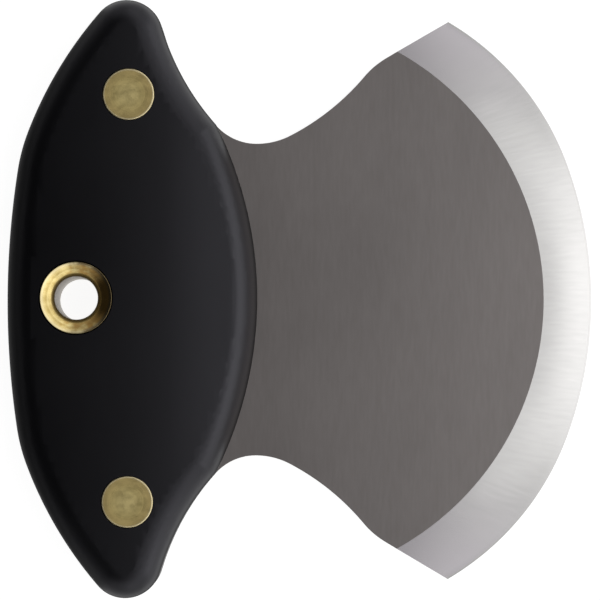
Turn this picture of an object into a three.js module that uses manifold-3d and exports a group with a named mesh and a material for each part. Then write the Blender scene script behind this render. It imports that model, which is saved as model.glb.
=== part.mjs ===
// Ulu knife: a full-tang steel blade with a broad curved edge, clamped between two black handle
// scales by a pair of two-piece rivets and a flared brass lanyard tube.
// Millimetres. The knife lies flat: X runs from the spine of the handle to the cutting edge, Y runs
// along the handle and Z goes up through its thickness. Every X below is measured from the spine.
import * as THREE from 'three';
import { mergeVertices, toCreasedNormals } from 'three/addons/utils/BufferGeometryUtils.js';
import Module from 'manifold-3d';

const wasm = await Module();
wasm.setup();

const degrees = THREE.MathUtils.degToRad;

// Handle outline, shared by the tang and the scales
const HANDLE_LENGTH = 111;               // horn tip to horn tip
const SPINE_R = 157;                     // long curve that fills the palm
const SHOULDER_SETBACK = 31.5;           // where that curve ends, from the end of the handle
const SHOULDER_R = 33.6;
const FLANK_R = 75;                      // curve from the shoulder to the horn tip
const HORN_TIP_R = 6.7;
const HORN_TIP_X = 22.1;                 // centre of the horn tip's curve
const HORN_INNER_R = 47;                 // hollow curve from the horn tip down to the finger notch

// Blade and tang, one plate, from the finger notches to the cutting edge
const BLADE_THICKNESS = 3.2;
const NECK_WIDTH = 58.2;                 // narrowest part of the plate, between the notches
const NOTCH_X = 46.2;                    // deepest point of the notches
const NOTCH_HANDLE_R = 10.1;             // notch radius on the handle's side
const NOTCH_BLADE_R = 13.7;              // notch radius on the blade's side
const NOTCH_SLOPE = degrees(27.6);       // slope at which the notch runs into the neck
const NECK_R = 45.5;                     // long hollow curve from the notch to the corner
const NECK_SLOPE = degrees(50);          // slope at which the neck runs into the corner
const CORNER_R = 15.7;                   // rounded corner between the neck and the straight back
const HEEL_SLOPE = degrees(30.8);        // slope of the straight back behind each blade tip
const HEEL_STRAIGHT = 2.5;               // straight back from the corner to the grind
const EDGE_BOW = 26.8;                   // how far the middle of the edge lies beyond the blade tips
const EDGE_MIDDLE_R = 74;                // plan radius of the edge in its middle
const EDGE_BLEND_ANGLE = degrees(20);    // where that radius runs into the tighter ends

// Grind of the cutting edge, the same on both faces
const BEVEL_WIDTH = 9;                   // at the middle of the edge
const BEVEL_END_WIDTH = 11.15;           // along the straight backs, up to the blade tips
const HOLLOW_DEPTH = 0.12;               // how far the wheel has hollowed the bevel
const HONED_WIDTH = 0.9;                 // narrow honed strip along the edge
const HONED_THICKNESS = 0.7;             // plate left where the honing begins
const EDGE_THICKNESS = 0.16;             // plate left at the edge itself

// Handle scales
const SCALE_THICKNESS = 8.9;
const SCALE_BULGE = 7.7;                 // how far their front border bows out over the blade
const SCALE_ROUNDING = 4.6;              // round-over along the whole outline
const CROWN_X = 17.5;                    // line along which the palm face is highest
const CROWN_FLAT = 12;                   // flat strip on that line
const CROWN_R = 100;                     // the face falls away from the strip with this radius

// Two-piece rivets: a pin pressed into a sleeve
const RIVET_X = 22.6;
const RIVET_SETBACK = 17.9;              // rivet centre from the end of the handle
const RIVET_HEAD_DIAMETER = 9.525;
const RIVET_HEAD_HEIGHT = 2.2;
const RIVET_HEAD_SINK = 0.1;             // head below the top of the scale
const RIVET_HEAD_CHAMFER = 0.2;
const PIN_DIAMETER = 3.6;
const PIN_END_GAP = 5.1;                 // end of the pin to the bottom of the sleeve
const SLEEVE_WALL = 1.1;

// Lanyard tube, flared over at both ends
const TUBE_X = 13;
const TUBE_BORE = 7.94;
const TUBE_WALL = 0.79;
const FLARE_DIAMETER = 13.35;
const FLARE_ANGLE = degrees(45);         // slope of the flare
const FLARE_SINK = 0.3;                  // rim of the flare below the top of the scale

// Clearances
const HEAD_CLEARANCE = 0.1;              // radial, rivet head in its counterbore
const SHANK_CLEARANCE = 0.3;             // radial, sleeve in the scales and the tang
const PIN_CLEARANCE = 0.1;               // radial, pin in the sleeve
const SLEEVE_END_GAP = 0.3;              // mouth of the sleeve to the head of the pin
const TUBE_CLEARANCE = 0.2;              // radial and under the flare, tube in the scales and the tang

// Fineness of the facets
const CHORD_ERROR = 0.03;                // furthest that a facet may stray from its curve
const EDGE_ROWS = 40;                    // facets along the cutting edge
const BEVEL_STEPS = 3;                   // facets across the hollow of the bevel
const FRONT_ROWS = 8;                    // facets from the middle of a scale's front to its corner
const HORN_ROWS = 14;                    // facets from that corner to the horn tip
const TIP_CROWDING = 0.65;               // how much closer the facets lie at the horn tips
const ROUNDING_STEPS = 5;
const FACE_COLUMNS = 8;
const ROUND_SIDES = 40;
const CUT_OVERRUN = 1;                   // how far a cutter reaches past the face that it opens
const WELD_DISTANCE = 1e-4;
const CREASE_ANGLE = degrees(30);

// Values that follow from the dimensions
const HALF_LENGTH = HANDLE_LENGTH / 2;
const HALF_BLADE = BLADE_THICKNESS / 2;
const RIVET_Y = HALF_LENGTH - RIVET_SETBACK;
const SEAT_HEIGHT = SCALE_THICKNESS - RIVET_HEAD_SINK - RIVET_HEAD_HEIGHT;
const HEAD_SPACING = BLADE_THICKNESS + 2 * SEAT_HEIGHT;
const SLEEVE_BORE_R = PIN_DIAMETER / 2 + PIN_CLEARANCE;
const SLEEVE_R = SLEEVE_BORE_R + SLEEVE_WALL;
const SHANK_HOLE_R = SLEEVE_R + SHANK_CLEARANCE;
const BORE_R = TUBE_BORE / 2;
const TUBE_R = BORE_R + TUBE_WALL;
const TUBE_HOLE_R = TUBE_R + TUBE_CLEARANCE;
const HANDLE_THICKNESS = BLADE_THICKNESS + 2 * SCALE_THICKNESS;

// Plane geometry

const point = (x, y) => new THREE.Vector2(x, y);

const polar = (distance, angle) => point(distance * Math.cos(angle), distance * Math.sin(angle));

const bearing = (from, to) => Math.atan2(to.y - from.y, to.x - from.x);

// Where two circles cross, on the left of the line from the first centre to the second.
function circlesCross(centreA, radiusA, centreB, radiusB) {
  const along = centreB.clone().sub(centreA);
  const apart = along.length();
  along.normalize();
  const reach = (apart ** 2 + radiusA ** 2 - radiusB ** 2) / (2 * apart);
  const offset = Math.sqrt(radiusA ** 2 - reach ** 2);
  const left = point(-along.y, along.x);
  return centreA.clone().addScaledVector(along, reach).addScaledVector(left, offset);
}

// Where a line from a point leaves a circle, in the direction given.
function lineLeavesCircle(start, direction, centre, radius) {
  const offset = start.clone().sub(centre);
  const along = offset.dot(direction);
  const reach = -along + Math.sqrt(along ** 2 - offset.lengthSq() + radius ** 2);
  return start.clone().addScaledVector(direction, reach);
}

// Radius of an arc that bows out by the distance given from its chord.
const bowRadius = (bow, halfChord) => (bow ** 2 + halfChord ** 2) / (2 * bow);

function arc(centre, radius, from, to, clockwise) {
  return new THREE.EllipseCurve(centre.x, centre.y, radius, radius, from, to, clockwise);
}

// A path that runs along one curve after the other.
function chain(...curves) {
  const path = new THREE.CurvePath();
  for (const curve of curves) path.add(curve);
  return path;
}

// Points of a path, as far apart as the chord error allows.
function pointsAlong(path) {
  const points = path.curves.flatMap((curve) => {
    const chord = curve.isEllipseCurve ? Math.sqrt(8 * CHORD_ERROR * curve.xRadius) : Infinity;
    return curve.getPoints(Math.max(1, Math.ceil(curve.getLength() / chord))).slice(0, -1);
  });
  return [...points, path.getPoint(1)];
}

// Points in a number of steps along a path from 0 to 1, which crowd towards its far end.
function divided(pathAt, steps, crowding) {
  return Array.from({ length: steps + 1 }, (_, step) => {
    const share = step / steps;
    return pathAt(share * (1 + crowding * (1 - share)));
  });
}

// The half of an outline above the X axis, completed by its mirror image below.
function withMirrorImage(upperHalf) {
  const lowerHalf = upperHalf.map((p) => point(p.x, -p.y)).reverse();
  return [...lowerHalf, ...upperHalf.slice(1)];
}

// Closed bodies from facets

const raised = (p, z) => new THREE.Vector3(p.x, p.y, z);

function addTriangle(facets, a, b, c) {
  const shrunk = a.distanceTo(b) < WELD_DISTANCE
    || b.distanceTo(c) < WELD_DISTANCE
    || c.distanceTo(a) < WELD_DISTANCE;
  if (!shrunk) facets.push(a, b, c);
}

function addQuad(facets, a, b, c, d) {
  addTriangle(facets, a, b, c);
  addTriangle(facets, a, c, d);
}

// A flat face with holes, at one height, looking up or down. The outline runs anticlockwise.
function addFlatFace(facets, outline, holes, z, looksUp) {
  const points = [outline, ...holes].flat().map((p) => raised(p, z));
  for (const [a, b, c] of THREE.ShapeUtils.triangulateShape(outline, holes)) {
    if (looksUp) addTriangle(facets, points[a], points[b], points[c]);
    else addTriangle(facets, points[a], points[c], points[b]);
  }
}

// An upright wall along a line, with the body on the left of it.
function addWall(facets, line, bottom, top) {
  for (let i = 1; i < line.length; i += 1) {
    const [from, to] = [line[i - 1], line[i]];
    addQuad(facets, raised(from, bottom), raised(to, bottom), raised(to, top), raised(from, top));
  }
}

function bodyFromFacets(facets) {
  const geometry = new THREE.BufferGeometry().setFromPoints(facets);
  return mergeVertices(geometry, WELD_DISTANCE);
}

// A profile of [radius, height] pairs turned about the Z axis.
function turned(profile) {
  const points = profile.map(([radius, height]) => point(radius, height));
  const lathe = new THREE.LatheGeometry(points, ROUND_SIDES).rotateX(Math.PI / 2).toNonIndexed();
  const position = lathe.getAttribute('position');
  const corners = Array.from({ length: position.count }, (_, i) => (
    new THREE.Vector3().fromBufferAttribute(position, i)
  ));
  const facets = [];
  for (let i = 0; i < corners.length; i += 3) {
    addTriangle(facets, corners[i], corners[i + 1], corners[i + 2]);
  }
  return bodyFromFacets(facets);
}

// Solid cuts

function toSolid(geometry) {
  return new wasm.Manifold(new wasm.Mesh({
    numProp: 3,
    vertProperties: new Float32Array(geometry.getAttribute('position').array),
    triVerts: new Uint32Array(geometry.getIndex().array),
  }));
}

function fromSolid(solid) {
  const mesh = solid.getMesh();
  const geometry = new THREE.BufferGeometry();
  geometry.setAttribute('position', new THREE.BufferAttribute(mesh.vertProperties, 3));
  geometry.setIndex(new THREE.BufferAttribute(mesh.triVerts, 1));
  return geometry;
}

function cutAway(geometry, cutters) {
  const whole = cutters.reduce((solid, cutter) => solid.subtract(toSolid(cutter)), toSolid(geometry));
  return fromSolid(whole);
}

// Outline of the handle, upper half, as a chain of tangent arcs

const UP = Math.PI / 2;
const DOWN = -Math.PI / 2;

const hornTip = point(HORN_TIP_X, HALF_LENGTH - HORN_TIP_R);
const spine = point(SPINE_R, 0);
const spineEnd = Math.PI - Math.asin((HALF_LENGTH - SHOULDER_SETBACK) / SPINE_R);
const shoulder = polar(SPINE_R - SHOULDER_R, spineEnd).add(spine);
const flank = circlesCross(hornTip, FLANK_R - HORN_TIP_R, shoulder, FLANK_R - SHOULDER_R);
const notchOnHandle = point(NOTCH_X, NECK_WIDTH / 2 + NOTCH_HANDLE_R);
const hornInner = circlesCross(
  hornTip,
  HORN_INNER_R + HORN_TIP_R,
  notchOnHandle,
  HORN_INNER_R - NOTCH_HANDLE_R,
);

// From the middle of the spine to the top of the horn tip.
const palmSide = chain(
  arc(spine, SPINE_R, Math.PI, spineEnd, true),
  arc(shoulder, SHOULDER_R, spineEnd, bearing(flank, shoulder), true),
  arc(flank, FLANK_R, bearing(flank, shoulder), bearing(flank, hornTip), true),
  arc(hornTip, HORN_TIP_R, bearing(flank, hornTip), UP, true),
);

// From the top of the horn tip to the finger notch.
const fingerSide = chain(
  arc(hornTip, HORN_TIP_R, UP, bearing(hornTip, hornInner), true),
  arc(hornInner, HORN_INNER_R, bearing(hornInner, hornTip), bearing(hornInner, notchOnHandle), false),
);

// Outline of the blade, upper half

const notchOnBlade = point(NOTCH_X, NECK_WIDTH / 2 + NOTCH_BLADE_R);
const neck = polar(NECK_R - NOTCH_BLADE_R, UP + NOTCH_SLOPE).add(notchOnBlade);
const corner = polar(NECK_R + CORNER_R, DOWN + NECK_SLOPE).add(neck);
const heelStart = polar(CORNER_R, UP + HEEL_SLOPE).add(corner);
const bevelEnd = polar(HEEL_STRAIGHT, HEEL_SLOPE).add(heelStart);
const bladeTip = polar(BEVEL_END_WIDTH, HEEL_SLOPE).add(bevelEnd);

// From the horn through the finger notch, along the neck and round the corner to the grind.
const bladeBack = chain(
  arc(notchOnHandle, NOTCH_HANDLE_R, bearing(hornInner, notchOnHandle), DOWN, false),
  arc(notchOnBlade, NOTCH_BLADE_R, DOWN, DOWN + NOTCH_SLOPE, false),
  arc(neck, NECK_R, DOWN + NOTCH_SLOPE, DOWN + NECK_SLOPE, false),
  arc(corner, CORNER_R, UP + NECK_SLOPE, UP + HEEL_SLOPE, true),
  new THREE.LineCurve(heelStart, bevelEnd),
);

// Cutting edge, an arc in the middle that runs into a tighter one to each tip

const knifeDepth = bladeTip.x + EDGE_BOW;
const edgeMiddle = point(knifeDepth - EDGE_MIDDLE_R, 0);
const blendOut = polar(1, EDGE_BLEND_ANGLE);
const blend = edgeMiddle.clone().addScaledVector(blendOut, EDGE_MIDDLE_R);
const blendToTip = bladeTip.clone().sub(blend);
const edgeEndR = bowRadius(-blendOut.dot(blendToTip), blendOut.cross(blendToTip));
const edgeEnd = blend.clone().addScaledVector(blendOut, -edgeEndR);

// Line where the grind begins, one arc from the one straight back to the other

const bevelLineR = bowRadius(knifeDepth - BEVEL_WIDTH - bevelEnd.x, bevelEnd.y);
const bevelLine = point(knifeDepth - BEVEL_WIDTH - bevelLineR, 0);

// A point of the edge, in the direction given from the centre of the bevel line.
function edgePoint(angle) {
  const direction = polar(1, Math.abs(angle));
  const onMiddle = lineLeavesCircle(bevelLine, direction, edgeMiddle, EDGE_MIDDLE_R);
  const found = bearing(edgeMiddle, onMiddle) <= EDGE_BLEND_ANGLE
    ? onMiddle
    : lineLeavesCircle(bevelLine, direction, edgeEnd, edgeEndR);
  return point(found.x, Math.sign(angle) * found.y);
}

// Blade: a flat plate with three holes in its tang, ground from both faces along the edge

function circleHole(x, y, radius) {
  return new THREE.Path().absarc(x, y, radius, 0, 2 * Math.PI, true).getPoints(ROUND_SIDES).slice(1);
}

// One line across the bevel, from where the grind begins to the edge, at the height of one face.
function bevelSection(share) {
  const start = polar(bevelLineR, share * bearing(bevelLine, bevelEnd)).add(bevelLine);
  const end = edgePoint(share * bearing(bevelLine, bladeTip));
  const honedShare = 1 - HONED_WIDTH / start.distanceTo(end);
  const section = [];
  for (let step = 0; step <= BEVEL_STEPS; step += 1) {
    const part = step / BEVEL_STEPS;
    const flat = THREE.MathUtils.lerp(HALF_BLADE, HONED_THICKNESS / 2, part);
    const hollow = 4 * HOLLOW_DEPTH * part * (1 - part);
    section.push(raised(start.clone().lerp(end, part * honedShare), flat - hollow));
  }
  section.push(raised(end, EDGE_THICKNESS / 2));
  return section;
}

const underneath = (p) => new THREE.Vector3(p.x, p.y, -p.z);

function bladeGeometry() {
  const facets = [];
  const sections = Array.from({ length: EDGE_ROWS + 1 }, (_, row) => (
    bevelSection(2 * row / EDGE_ROWS - 1)
  ));
  const bevelLinePoints = sections.map(([start]) => point(start.x, start.y));
  const upperBack = chain(...palmSide.curves, ...fingerSide.curves, ...bladeBack.curves);
  const back = withMirrorImage(pointsAlong(upperBack)).reverse();
  const outline = [...back, ...bevelLinePoints.slice(1, -1)];
  const holes = [
    circleHole(RIVET_X, RIVET_Y, SHANK_HOLE_R),
    circleHole(RIVET_X, -RIVET_Y, SHANK_HOLE_R),
    circleHole(TUBE_X, 0, TUBE_HOLE_R),
  ];
  addFlatFace(facets, outline, holes, HALF_BLADE, true);
  addFlatFace(facets, outline, holes, -HALF_BLADE, false);
  addWall(facets, back, -HALF_BLADE, HALF_BLADE);
  for (const hole of holes) addWall(facets, [...hole, hole[0]], -HALF_BLADE, HALF_BLADE);
  for (let row = 1; row < sections.length; row += 1) {
    const [before, after] = [sections[row - 1], sections[row]];
    for (let i = 1; i < before.length; i += 1) {
      const corners = [before[i - 1], before[i], after[i], after[i - 1]];
      addQuad(facets, ...corners);
      addQuad(facets, ...corners.map(underneath).reverse());
    }
    addQuad(facets, before.at(-1), underneath(before.at(-1)), underneath(after.at(-1)), after.at(-1));
  }
  // The narrow ends of the grind, in line with the straight backs.
  const [lowerEnd, upperEnd] = [sections[0], sections.at(-1)];
  for (let i = 1; i < lowerEnd.length; i += 1) {
    const lower = [lowerEnd[i - 1], underneath(lowerEnd[i - 1]), underneath(lowerEnd[i]), lowerEnd[i]];
    const upper = [upperEnd[i], underneath(upperEnd[i]), underneath(upperEnd[i - 1]), upperEnd[i - 1]];
    addQuad(facets, ...lower);
    addQuad(facets, ...upper);
  }
  return bodyFromFacets(facets);
}

// Handle scale: its flat side lies on the tang, its palm face is crowned and rounded all round

// Height of the palm face above the tang.
function crownHeight(x) {
  const out = Math.max(0, Math.abs(x - CROWN_X) - CROWN_FLAT / 2);
  return SCALE_THICKNESS - (CROWN_R - Math.sqrt(CROWN_R ** 2 - out ** 2));
}

// From the middle of the scale's front border, round its corner at the finger notch, to the top of
// the horn tip.
function scaleFingerSide() {
  const frontCorner = fingerSide.getPoint(1);
  const radius = bowRadius(SCALE_BULGE, frontCorner.y);
  const front = point(frontCorner.x + SCALE_BULGE - radius, 0);
  const border = arc(front, radius, 0, bearing(front, frontCorner), false);
  const borderPoints = divided((part) => border.getPoint(part), FRONT_ROWS, 0);
  const hornPoints = divided((part) => fingerSide.getPoint(1 - part), HORN_ROWS, TIP_CROWDING);
  return [...borderPoints, ...hornPoints.slice(1)];
}

// The outline moved inwards by a distance, each side parallel to where it was.
function inset(outline, distance) {
  const count = outline.length;
  return outline.map((p, i) => {
    const before = p.clone().sub(outline[(i + count - 1) % count]).normalize();
    const after = outline[(i + 1) % count].clone().sub(p).normalize();
    const inward = point(before.y + after.y, -before.x - after.x).normalize();
    const along = distance / inward.dot(point(before.y, -before.x));
    return p.clone().addScaledVector(inward, along);
  });
}

function scaleBlank() {
  const facets = [];
  const rows = FRONT_ROWS + HORN_ROWS;
  const palm = withMirrorImage(divided((part) => palmSide.getPoint(part), rows, TIP_CROWDING));
  const fingers = withMirrorImage(scaleFingerSide());
  const outline = [...palm, ...fingers.slice(1, -1).reverse()];
  const faceEdge = inset(outline, SCALE_ROUNDING);
  const rings = [outline.map((p) => raised(p, 0))];
  for (let step = 0; step <= ROUNDING_STEPS; step += 1) {
    const turn = UP * step / ROUNDING_STEPS;
    const fall = SCALE_ROUNDING * (1 - Math.sin(turn));
    const ring = inset(outline, SCALE_ROUNDING * (1 - Math.cos(turn)));
    rings.push(ring.map((p, i) => raised(p, crownHeight(faceEdge[i].x) - fall)));
  }
  const count = outline.length;
  for (let level = 1; level < rings.length; level += 1) {
    const [low, high] = [rings[level - 1], rings[level]];
    for (let i = 0; i < count; i += 1) {
      const next = (i + 1) % count;
      addQuad(facets, low[i], high[i], high[next], low[next]);
    }
  }
  // The palm face, in lines across the handle from the spine's side to the fingers' side.
  const across = Array.from({ length: 2 * rows + 1 }, (_, row) => {
    const left = faceEdge[row];
    const right = faceEdge[(count - row) % count];
    return Array.from({ length: FACE_COLUMNS + 1 }, (__, column) => {
      const p = left.clone().lerp(row < 2 * rows ? right : left, column / FACE_COLUMNS);
      return raised(p, crownHeight(p.x));
    });
  });
  for (let row = 1; row < across.length; row += 1) {
    const [near, far] = [across[row - 1], across[row]];
    for (let column = 1; column <= FACE_COLUMNS; column += 1) {
      addQuad(facets, near[column - 1], near[column], far[column], far[column - 1]);
    }
  }
  addFlatFace(facets, [...outline].reverse(), [], 0, false);
  return bodyFromFacets(facets);
}

// Counterbore for a rivet head over the hole for its shank.
function rivetCutter(y) {
  const headR = RIVET_HEAD_DIAMETER / 2 + HEAD_CLEARANCE;
  const top = SCALE_THICKNESS + CUT_OVERRUN;
  return turned([
    [0, -CUT_OVERRUN],
    [SHANK_HOLE_R, -CUT_OVERRUN],
    [SHANK_HOLE_R, SEAT_HEIGHT],
    [headR, SEAT_HEIGHT],
    [headR, top],
    [0, top],
  ]).translate(RIVET_X, y, 0);
}

// Height above the tang at which a cone that opens at the flare's slope has the radius given.
function flareHeight(radius) {
  const rimHeight = SCALE_THICKNESS - FLARE_SINK;
  return rimHeight - (FLARE_DIAMETER / 2 - radius) * Math.tan(FLARE_ANGLE);
}

// The tube's wall and the clearance outside it, measured square to the flare, shift its cones down.
const FLARE_WALL_DROP = TUBE_WALL / Math.cos(FLARE_ANGLE);
const FLARE_SEAT_DROP = FLARE_WALL_DROP + TUBE_CLEARANCE / Math.cos(FLARE_ANGLE);

// Countersink for the flare over the hole for the tube.
function tubeCutter() {
  const top = SCALE_THICKNESS + CUT_OVERRUN;
  const topRadius = FLARE_DIAMETER / 2 + TUBE_CLEARANCE;
  return turned([
    [0, -CUT_OVERRUN],
    [TUBE_HOLE_R, -CUT_OVERRUN],
    [TUBE_HOLE_R, flareHeight(TUBE_HOLE_R) - FLARE_SEAT_DROP],
    [topRadius, flareHeight(topRadius) - FLARE_SEAT_DROP],
    [topRadius, top],
    [0, top],
  ]).translate(TUBE_X, 0, 0);
}

function scaleGeometry() {
  return cutAway(scaleBlank(), [rivetCutter(RIVET_Y), rivetCutter(-RIVET_Y), tubeCutter()]);
}

// Rivet halves, each with the underside of its head at height 0

function rivetHead() {
  const radius = RIVET_HEAD_DIAMETER / 2;
  return [
    [radius, 0],
    [radius, RIVET_HEAD_HEIGHT - RIVET_HEAD_CHAMFER],
    [radius - RIVET_HEAD_CHAMFER, RIVET_HEAD_HEIGHT],
    [0, RIVET_HEAD_HEIGHT],
  ];
}

function pinGeometry() {
  const radius = PIN_DIAMETER / 2;
  const end = PIN_END_GAP - HEAD_SPACING;
  return turned([[0, end], [radius, end], [radius, 0], ...rivetHead()]);
}

function sleeveGeometry() {
  const mouth = SLEEVE_END_GAP - HEAD_SPACING;
  return turned([
    [0, 0],
    [SLEEVE_BORE_R, 0],
    [SLEEVE_BORE_R, mouth],
    [SLEEVE_R, mouth],
    [SLEEVE_R, 0],
    ...rivetHead(),
  ]);
}

// Lanyard tube, from the rim of one flare to the rim of the other

function tubeGeometry() {
  const rimR = FLARE_DIAMETER / 2;
  const upper = [
    [TUBE_R, HALF_BLADE + flareHeight(TUBE_R) - FLARE_WALL_DROP],
    [rimR, HALF_BLADE + flareHeight(rimR) - FLARE_WALL_DROP],
    [rimR, HALF_BLADE + flareHeight(rimR)],
    [BORE_R, HALF_BLADE + flareHeight(BORE_R)],
  ];
  const lower = upper.map(([radius, height]) => [radius, -height]).reverse();
  return turned([...upper, ...lower, upper[0]]);
}

// Assembly

function addPiece(group, name, geometry, finish, x, y, z, turnedOver) {
  const material = new THREE.MeshStandardMaterial(finish);
  const mesh = new THREE.Mesh(toCreasedNormals(geometry, CREASE_ANGLE), material);
  mesh.name = name;
  mesh.position.set(x, y, z);
  if (turnedOver) mesh.rotation.x = Math.PI;
  group.add(mesh);
}

const STEEL = { color: 0x96938f, roughness: 0.36, metalness: 1, flatShading: true };
const BLACK_PLASTIC = { color: 0x1a1a1c, roughness: 0.5, metalness: 0 };
const BRASS = { color: 0xb9a76a, roughness: 0.32, metalness: 1 };

const knife = new THREE.Group();
knife.position.set(-knifeDepth / 2, 0, HANDLE_THICKNESS / 2);

const scale = scaleGeometry();
const headSeat = HALF_BLADE + SEAT_HEIGHT;
addPiece(knife, 'blade', bladeGeometry(), STEEL, 0, 0, 0, false);
addPiece(knife, 'front_scale', scale, BLACK_PLASTIC, 0, 0, HALF_BLADE, false);
addPiece(knife, 'rear_scale', scale, BLACK_PLASTIC, 0, 0, -HALF_BLADE, true);
for (const [place, y] of [['upper', RIVET_Y], ['lower', -RIVET_Y]]) {
  addPiece(knife, `${place}_rivet_male`, pinGeometry(), BRASS, RIVET_X, y, headSeat, false);
  addPiece(knife, `${place}_rivet_female`, sleeveGeometry(), BRASS, RIVET_X, y, -headSeat, true);
}
addPiece(knife, 'lanyard_tube', tubeGeometry(), BRASS, TUBE_X, 0, 0, false);

export default knife;
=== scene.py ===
# Ulu knife: a satin steel blade between black handle scales, held by brass rivets and a lanyard tube
import math

import bmesh
import bpy
from mathutils import Matrix, Vector


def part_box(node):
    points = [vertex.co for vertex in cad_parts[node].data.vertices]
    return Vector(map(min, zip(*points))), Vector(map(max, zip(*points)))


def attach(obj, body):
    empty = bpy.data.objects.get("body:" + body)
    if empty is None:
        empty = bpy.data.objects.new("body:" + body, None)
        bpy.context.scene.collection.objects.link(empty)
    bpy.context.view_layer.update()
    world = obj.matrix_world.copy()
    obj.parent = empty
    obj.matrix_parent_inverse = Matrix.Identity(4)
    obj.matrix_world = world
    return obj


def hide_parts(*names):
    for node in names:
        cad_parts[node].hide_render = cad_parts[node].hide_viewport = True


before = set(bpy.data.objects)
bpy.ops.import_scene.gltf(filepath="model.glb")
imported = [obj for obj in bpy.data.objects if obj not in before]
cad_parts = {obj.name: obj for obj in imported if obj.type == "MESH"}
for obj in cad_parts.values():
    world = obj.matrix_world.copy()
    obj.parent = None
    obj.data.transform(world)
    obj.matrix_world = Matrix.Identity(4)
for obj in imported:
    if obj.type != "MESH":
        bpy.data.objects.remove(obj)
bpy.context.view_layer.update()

MM = 0.001

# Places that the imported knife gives
blade_low, blade_high = (Vector(corner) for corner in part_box("blade"))
tube_low, tube_high = (Vector(corner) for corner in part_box("lanyard_tube"))
SPINE_X = blade_low.x
EDGE_X = blade_high.x
HALF_LENGTH = blade_high.y
MIDDLE_Z = (blade_low.z + blade_high.z) / 2
HALF_BLADE = (blade_high.z - blade_low.z) / 2
SCALE_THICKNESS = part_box("front_scale")[1][2] - blade_high.z
TUBE_CENTRE = (tube_low.xy + tube_high.xy) / 2
FLARE_R = (tube_high.x - tube_low.x) / 2
FLARE_TOP = tube_high.z - MIDDLE_Z
RIVET_CENTRES = {}
for side in ("upper", "lower"):
    rivet_low, rivet_high = (Vector(corner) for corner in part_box(side + "_rivet_male"))
    RIVET_CENTRES[side] = (rivet_low.xy + rivet_high.xy) / 2
RIVET_HEAD_R = (rivet_high.x - rivet_low.x) / 2
RIVET_SINK = blade_high.z + SCALE_THICKNESS - rivet_high.z

# Handle outline
SPINE_R = 157 * MM
SHOULDER_SETBACK = 31.5 * MM
SHOULDER_R = 33.6 * MM
FLANK_R = 75 * MM
HORN_TIP_R = 6.7 * MM
HORN_TIP_X = SPINE_X + 22.1 * MM
HORN_INNER_R = 47 * MM

# Blade outline
NECK_WIDTH = 58.2 * MM
NOTCH_X = SPINE_X + 46.2 * MM
NOTCH_HANDLE_R = 10.1 * MM
NOTCH_BLADE_R = 13.7 * MM
NOTCH_SLOPE = math.radians(27.6)
NECK_R = 45.5 * MM
NECK_SLOPE = math.radians(50)
CORNER_R = 15.7 * MM
HEEL_SLOPE = math.radians(30.8)
HEEL_STRAIGHT = 2.5 * MM
EDGE_MIDDLE_R = 74 * MM
EDGE_BLEND_ANGLE = math.radians(20)
PLATE_EDGE_BREAK = 0.15 * MM

# Grind of the cutting edge
BEVEL_WIDTH = 9 * MM
BEVEL_END_WIDTH = 11.15 * MM
HOLLOW_DEPTH = 0.12 * MM
HONED_WIDTH = 0.4 * MM
HONED_HALF_THICKNESS = 0.13 * MM
EDGE_HALF_THICKNESS = 0.08 * MM

# Handle scales
SCALE_BULGE = 7.7 * MM
SCALE_ROUNDING = 4.6 * MM
SCALE_EDGE_BREAK = 0.2 * MM
CROWN_X = SPINE_X + 17.5 * MM
CROWN_FLAT = 12 * MM
CROWN_R = 100 * MM
CROWN_BLEND = 12 * MM

# Painted shade and sheen of the scales, by the slope of their surface
SPINE_SHADE_STARTS = 0.35
SPINE_SHADE_FULL = 0.75
STEEP_SHADE_FULL = 0.2
STEEP_SHADE_ENDS = 0.5
FRONT_SHEEN_STARTS = 0.4
FRONT_SHEEN_FULL = 0.7

# Rivets and lanyard tube
RIVET_HEAD_HEIGHT = 2.2 * MM
RIVET_RIM_ROUNDING = 0.22 * MM
RIVET_DIMPLE_R = 3.6 * MM
RIVET_DIMPLE_SLOPE = 0.5 * MM
RIVET_DIMPLE_DEPTH = 0.012 * MM
PIN_R = 1.8 * MM
SLEEVE_BORE_R = 1.9 * MM
SLEEVE_R = 3 * MM
HEAD_CLEARANCE = 0.1 * MM
SHANK_HOLE_R = 3.3 * MM
BORE_R = 3.97 * MM
TUBE_WALL = 0.79 * MM
TUBE_HOLE_R = 4.96 * MM
TUBE_CLEARANCE = 0.2 * MM
FLARE_RIM_ROUNDING = 0.2 * MM
FLARE_SLOPE = math.radians(25)
FLARE_THROAT_ROUNDING = 1.0 * MM

# Fineness of the meshes
OUTLINE_STEP = 0.7 * MM
BEVEL_LINE_STEPS = 70
BEVEL_ROWS = 10
HONED_ROWS = 2
ROUNDING_ROWS = 12
EDGE_BREAK_ROWS = 2
BRASS_RIM_ROWS = 4
THROAT_ROWS = 10
CREASE = math.radians(20)
CROWN_STRIP = 1.2 * MM
STRIP_SNAP = 0.01 * MM
HOLE_SIDES = 64
HOLE_SLACK = 0.0002
INSIDE_HOLE = math.cos(math.pi / HOLE_SIDES) - HOLE_SLACK
OUTSIDE_HOLE = 1 + HOLE_SLACK
ROUNDING_SLACK = 0.01
TURNED_SIDES = 96
TINY = 0.001 * MM
FLAT_NORMAL = 0.999999

UP = math.pi / 2
DOWN = -math.pi / 2


# Plane geometry

def polar(distance, angle):
    return Vector((distance * math.cos(angle), distance * math.sin(angle)))


def bearing(start, end):
    return math.atan2(end.y - start.y, end.x - start.x)


# Where two circles cross, on the left of the line from the first centre to the second.
def circles_cross(centre_a, radius_a, centre_b, radius_b):
    apart = (centre_b - centre_a).length
    along = (centre_b - centre_a) / apart
    reach = (apart ** 2 + radius_a ** 2 - radius_b ** 2) / (2 * apart)
    offset = math.sqrt(radius_a ** 2 - reach ** 2)
    return centre_a + reach * along + offset * Vector((-along.y, along.x))


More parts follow.
